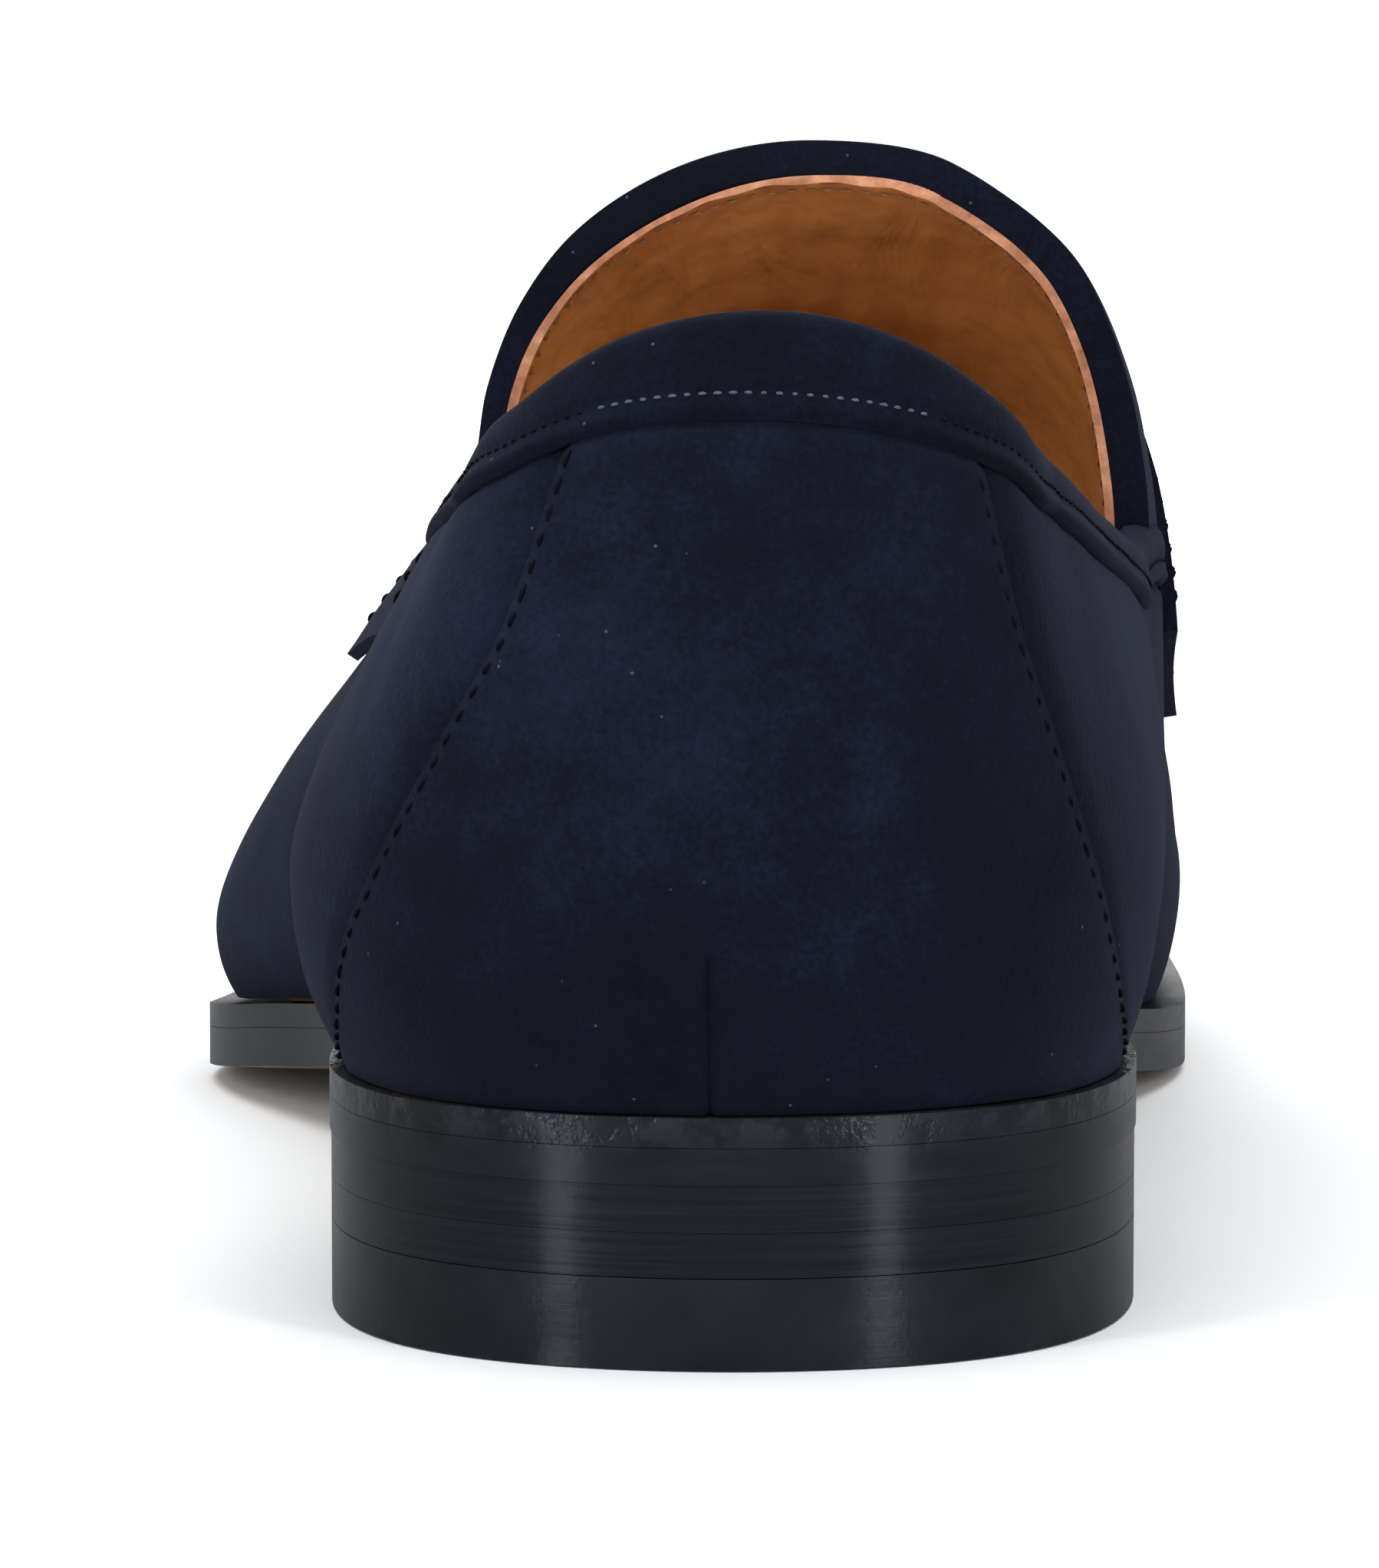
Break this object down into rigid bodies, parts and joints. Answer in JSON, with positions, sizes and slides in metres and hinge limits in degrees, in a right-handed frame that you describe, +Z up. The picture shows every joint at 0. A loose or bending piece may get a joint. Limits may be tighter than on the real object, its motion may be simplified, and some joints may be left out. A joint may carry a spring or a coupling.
{
  "type": "penny loafer",
  "caption": "Left suede penny loafer: almond toe, apron front under a slotted saddle strap, raised tongue, folded collar band and a low stacked heel.",
  "frame": {"origin": "centre of the bounding box in plan, on the floor plane the heel and ball stand on", "axes": "+Y from the toe to the back of the heel, +X to the lateral (outer) side, +Z up"},
  "size_m": [0.1043, 0.302, 0.0995],
  "materials": {
    "suede": "dark navy suede, napped, matt and blotchy",
    "lining": "smooth caramel lining leather, soft sheen",
    "black_edge": "black painted and burnished leather edge, satin gloss",
    "sole_leather": "tan sole leather underneath, edge painted black",
    "rubber": "black heel rubber, satin",
    "brass": "plain brass pins",
    "steel": "plain spring steel strip, hidden",
    "cork": "pressed cork filler, hidden",
    "board": "fibre insole board",
    "stiffener": "resin-set fabric stiffener, hidden"
  },
  "bodies": {
    "root": {"outsole": "sole_leather", "welt": "black_edge", "cork_filler": "cork", "steel_shank": "steel", "insole_board": "board", "sock_liner": "lining", "heel_lift_upper": "black_edge", "heel_lift_lower": "black_edge", "heel_top_piece": "rubber", "heel_nail_1": "brass", "heel_nail_2": "brass", "heel_nail_3": "brass", "heel_nail_4": "brass", "heel_nail_5": "brass", "back_counter_panel": "suede", "quarter_lateral": "suede", "quarter_medial": "suede", "vamp": "suede", "apron": "suede", "saddle_strap": "suede", "collar_band": "suede", "heel_stiffener": "stiffener", "toe_puff": "stiffener", "heel_lining": "lining", "quarter_lining_lateral": "lining", "quarter_lining_medial": "lining", "vamp_lining": "lining", "apron_lining": "lining"}
  },
  "joints": []
}
